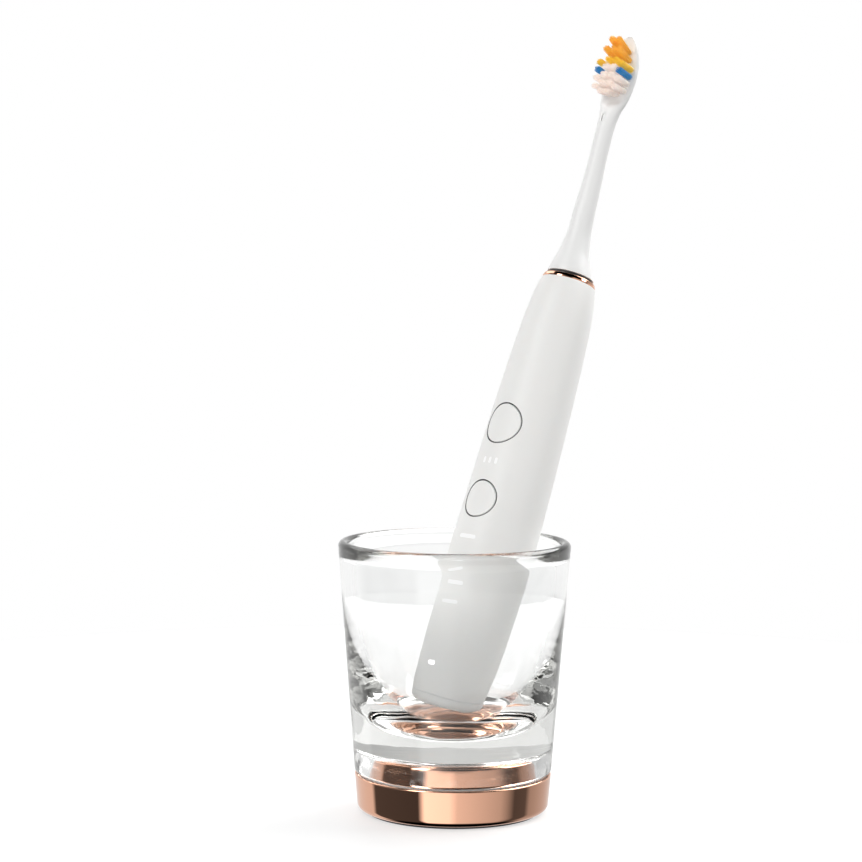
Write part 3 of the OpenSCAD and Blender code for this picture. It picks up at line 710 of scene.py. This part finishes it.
# ------------------------------------------------------------------- bristles
# End-rounded nylon filaments, stapled into the plate in tufts: two leaning orange rows at the
# toe, then yellow, blue, and clear ones to the heel, the outer tufts longer than the inner.
# Each row has its height on the plate, its lean in degrees, its tips' reach in front of the
# shaft, its tufts' middles across the plate, and a tuft's width.
TUFT = 2.1
FILAMENT_R, FILAMENT_PITCH, FILAMENT_SPLAY = 0.085, 0.185, 0.22
DENSEST = 2e8  # filaments on a square metre, before their pitch thins them out
TUFT_ROWS = {
    "orange_tufts": [(247.3, 13, 13.6, (-1.4, 1.4), 2.7), (244.3, 7, 13.8, (-2.6, 0.1, 2.6), 2.5)],
    "yellow_tufts": [(241.6, 2, 12.4, (-1.5, 1.5), 2.6), (240.7, -2, 13, (-4.4, 4.4), 2.7)],
    "blue_tufts": [(238, -3, 12.8, (-4.5, 4.5), 2.7)],
    "clear_tufts": [
        (239, 0, 12.6, (-1.6, 1.6), 2.9), (236.4, -3, 12.7, (-1.6, 1.6), 2.9),
        (235.3, -5, 12.9, (-4.4, 4.4), 2.6), (233.8, -7, 12.6, (-1.5, 1.5), 2.8),
        (232.5, -9, 12.8, (-4.1, 4.1), 2.3), (231.2, -13, 12.4, (-1.4, 1.4), 2.6)]}
BRISTLE_COLOURS = {
    "orange_tufts": (0.95, 0.56, 0.10), "yellow_tufts": (0.92, 0.66, 0.09),
    "blue_tufts": (0.04, 0.30, 0.62), "clear_tufts": (0.98, 0.88, 0.83)}


def tuft_planter():
    """Geometry nodes that plant filaments over a patch, each along the patch's own growth."""
    tree = bpy.data.node_groups.new("tuft_planter", "GeometryNodeTree")
    nodes, join = tree.nodes, tree.links.new
    sockets = {}
    for name, kind in (("Patches", "NodeSocketGeometry"), ("Filament", "NodeSocketObject"),
                       ("Pitch", "NodeSocketFloat"), ("Splay", "NodeSocketFloat"),
                       ("Seed", "NodeSocketInt"), ("Finish", "NodeSocketMaterial")):
        sockets[name] = tree.interface.new_socket(name, in_out="INPUT", socket_type=kind).identifier
    tree.interface.new_socket("Bristles", in_out="OUTPUT", socket_type="NodeSocketGeometry")
    given, result = nodes.new("NodeGroupInput").outputs, nodes.new("NodeGroupOutput").inputs
    plant = nodes.new("GeometryNodeDistributePointsOnFaces")
    plant.distribute_method = "POISSON"
    plant.inputs["Density Max"].default_value = DENSEST
    join(given["Patches"], plant.inputs["Mesh"])
    join(given["Pitch"], plant.inputs["Distance Min"])
    join(given["Seed"], plant.inputs["Seed"])
    growth = nodes.new("GeometryNodeInputNamedAttribute")
    growth.data_type = "FLOAT_VECTOR"
    growth.inputs["Name"].default_value = "growth"
    stray = nodes.new("FunctionNodeRandomValue")
    stray.data_type = "FLOAT_VECTOR"
    stray.inputs["Min"].default_value = (-1, -1, -1)
    stray.inputs["Max"].default_value = (1, 1, 1)
    join(given["Seed"], stray.inputs["Seed"])
    strayed = nodes.new("ShaderNodeVectorMath")
    strayed.operation = "MULTIPLY_ADD"
    join(stray.outputs["Value"], strayed.inputs[0])
    join(given["Splay"], strayed.inputs[1])
    join(growth.outputs["Attribute"], strayed.inputs[2])
    aim = nodes.new("FunctionNodeAlignRotationToVector")
    aim.axis = "Z"
    join(strayed.outputs[0], aim.inputs["Vector"])
    length = nodes.new("ShaderNodeVectorMath")
    length.operation = "LENGTH"
    join(strayed.outputs[0], length.inputs[0])
    size = nodes.new("ShaderNodeCombineXYZ")
    size.inputs["X"].default_value = size.inputs["Y"].default_value = 1
    join(length.outputs["Value"], size.inputs["Z"])
    filament = nodes.new("GeometryNodeObjectInfo")
    join(given["Filament"], filament.inputs["Object"])
    grow = nodes.new("GeometryNodeInstanceOnPoints")
    join(plant.outputs["Points"], grow.inputs["Points"])
    join(filament.outputs["Geometry"], grow.inputs["Instance"])
    join(aim.outputs["Rotation"], grow.inputs["Rotation"])
    join(size.outputs["Vector"], grow.inputs["Scale"])
    real, painted = nodes.new("GeometryNodeRealizeInstances"), nodes.new("GeometryNodeSetMaterial")
    join(grow.outputs["Instances"], real.inputs["Geometry"])
    join(real.outputs["Geometry"], painted.inputs["Geometry"])
    join(given["Finish"], painted.inputs["Material"])
    join(painted.outputs["Geometry"], result["Bristles"])
    return tree, sockets


def filament_object():
    """One filament a metre long, so that its growth is its scale, with a rounded tip."""
    profile = [(0, 0), (1, 0), (1, 0.975), (0.8, 0.992), (0.4, 1), (0, 1)]
    shape = turned([(radius * FILAMENT_R * MM, height) for radius, height in profile], sides=6)
    made = bpy.data.objects.new("filament", bpy.data.meshes.new("filament"))
    shape.to_mesh(made.data)
    made.data.shade_smooth()
    bpy.context.scene.collection.objects.link(made)
    return made


def tuft_patches(name, rows):
    """The round-ended patches that one colour's tufts stand on, with how far and where each
    grows."""
    shape = bmesh.new()
    growths = []
    turn_out = on_shaft.to_3x3()
    patch_r = TUFT / 2 - FILAMENT_R
    for root, tilt, reach, centres, width in rows:
        lean = math.radians(tilt)
        long = (reach - PLATE_FACE) / math.cos(lean)
        growth = turn_out @ Vector((0, -math.cos(lean), math.sin(lean))) * long * MM
        for centre in centres:
            rim = []
            for turn, side in ((-90, 1), (90, -1)):
                for step in range(9):
                    a = math.radians(turn + 22.5 * step)
                    x = side * (width - TUFT) / 2 + patch_r * math.cos(a)
                    rim.append((centre + x, -PLATE_FACE - 0.02, root + patch_r * math.sin(a)))
            shape.faces.new([shape.verts.new(on_shaft @ (Vector(point) * MM)) for point in rim])
            growths.append(growth)
    mesh = bpy.data.meshes.new(name)
    shape.to_mesh(mesh)
    attribute = mesh.attributes.new("growth", "FLOAT_VECTOR", "FACE")
    attribute.data.foreach_set("vector", [value for growth in growths for value in growth])
    return mesh


planter, planter_sockets = tuft_planter()
filament = filament_object()
for seed, (name, rows) in enumerate(TUFT_ROWS.items()):
    bristle_slot = name.replace("tufts", "bristle")
    nylon_dyed, shader = finish(bristle_slot, BRISTLE_COLOURS[name], 0.32, 0.6, 0.001, fleck=0.12)
    shader.inputs["Subsurface Weight"].default_value = 0.6
    shader.inputs["Subsurface Radius"].default_value = (0.0015, 0.0012, 0.001)
    # Painted glow: the bristles shine a little in their own colour, standing in for light scattered
    # through the nylon.
    glow_a_little(shader, BRISTLE_COLOURS[name], 0.17)
    patch = bpy.data.objects.new(name + "_patch", tuft_patches(name, rows))
    bpy.context.scene.collection.objects.link(patch)
    planting = patch.modifiers.new("planting", "NODES")
    planting.node_group = planter
    for socket, value in (
            ("Filament", filament), ("Pitch", FILAMENT_PITCH * MM),
            ("Splay", FILAMENT_SPLAY * MM), ("Seed", seed), ("Finish", nylon_dyed)):
        planting[planter_sockets[socket]] = value
    bpy.context.view_layer.update()
    grown = patch.evaluated_get(bpy.context.evaluated_depsgraph_get())
    mesh = bpy.data.meshes.new_from_object(grown)
    bpy.data.objects.remove(patch)
    mesh.name = name
    bristles = bpy.data.objects.new(name.replace("_tufts", "_bristles"), mesh)
    bpy.context.scene.collection.objects.link(bristles)
    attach(bristles, "head")
    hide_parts(name)
bpy.data.objects.remove(filament)

# ---------------------------------------------------------- inside the handle
# A moulded frame that slides into the sleeve carries the board, the wrapped cell on its foam
# and the steel motor between two bearings. The lights' clear lenses are set in the sleeve.
frame_plastic = finish("frame_plastic", (0.55, 0.57, 0.58), 0.5, 0.3, 0.01)[0]
motor_steel = finish("motor_steel", (0.42, 0.43, 0.45), 0.35, 0.2, 0.004, metal=1.0)[0]
bearing_steel = finish("bearing_steel", (0.62, 0.62, 0.64), 0.18, 0.2, 0.002, metal=1.0)[0]
cell_wrap = finish("cell_wrap", (0.06, 0.18, 0.42), 0.35, 0.6, 0.01)[0]
nickel = finish("nickel_strip", (0.62, 0.6, 0.56), 0.3, 0.15, 0.003, metal=1.0)[0]
foam = finish("foam_pad", (0.12, 0.12, 0.13), 0.9, 0.35, 0.15, fleck=0.3)[0]
light_lens, shader = finish("light_lens", (0.95, 0.95, 0.95), 0.3, 0.4, 0.002, fleck=0.01)
# These lenses glow faintly though their lights are off: a painted glow.
glow_a_little(shader, (1, 1, 1), 0.12)
lit_lens, shader = finish("lit_lens", (0.95, 0.95, 0.95), 0.3, 0.4, 0.002, fleck=0.01)
glow_a_little(shader, (1, 1, 1), 1.2)
magnet = finish("magnet_plating", (0.56, 0.55, 0.53), 0.22, 0.2, 0.002, metal=1.0)[0]
for node, material in (
        ("chassis", frame_plastic), ("motor_yoke", motor_steel), ("lower_bearing", bearing_steel),
        ("upper_bearing", bearing_steel), ("battery", cell_wrap), ("battery_tabs", nickel),
        ("battery_foam", foam), ("chassis_screws", frame["nodes"]["cover_screws"].active_material),
        ("light_chips", light_lens), ("mode_lights", light_lens), ("strength_lights", light_lens),
        ("battery_light", lit_lens), ("drive_shaft", bearing_steel), ("rotor_hub", motor_steel),
        ("rotor_magnets", magnet), ("head_tag_ring", winding)):
    dress(node, material)
